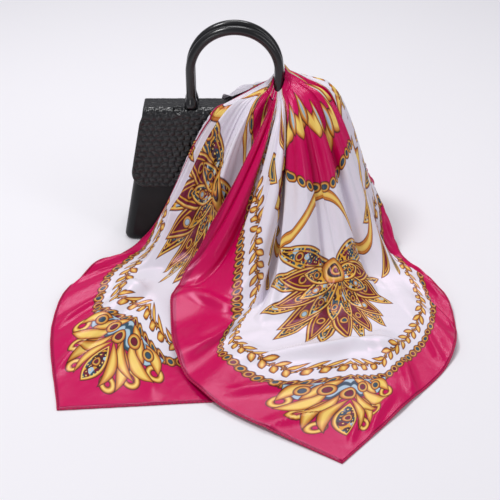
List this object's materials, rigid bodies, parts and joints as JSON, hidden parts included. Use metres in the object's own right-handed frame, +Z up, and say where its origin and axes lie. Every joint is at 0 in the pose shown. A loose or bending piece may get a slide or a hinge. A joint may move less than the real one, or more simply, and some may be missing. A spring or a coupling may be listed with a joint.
{
  "type": "silk square scarf on a handbag",
  "caption": "Square satin scarf gathered round the handles of a small trapeze handbag, falling over it in pleats and spread on the table with two corners forward.",
  "frame": {"origin": "middle of the bag's base, on the table", "axes": "+Z up, +Y from the side that the picture shows to the back, +X to the viewer's right"},
  "size_m": [0.4935, 0.7152, 0.2918],
  "materials": {
    "silk": "printed satin",
    "hem": "satin, rolled hem",
    "leather": "smooth, semi-gloss",
    "flap": "embossed, semi-gloss",
    "handles": "smooth, semi-gloss"
  },
  "bodies": {
    "root": {"front_fall": "silk", "back_fall": "silk", "left_fall": "silk", "neck": "silk", "front_hem": "hem", "back_hem": "hem", "left_hem": "hem", "bag_body": "leather", "bag_flap": "flap", "handle_front": "handles", "handle_back": "handles"}
  },
  "joints": []
}
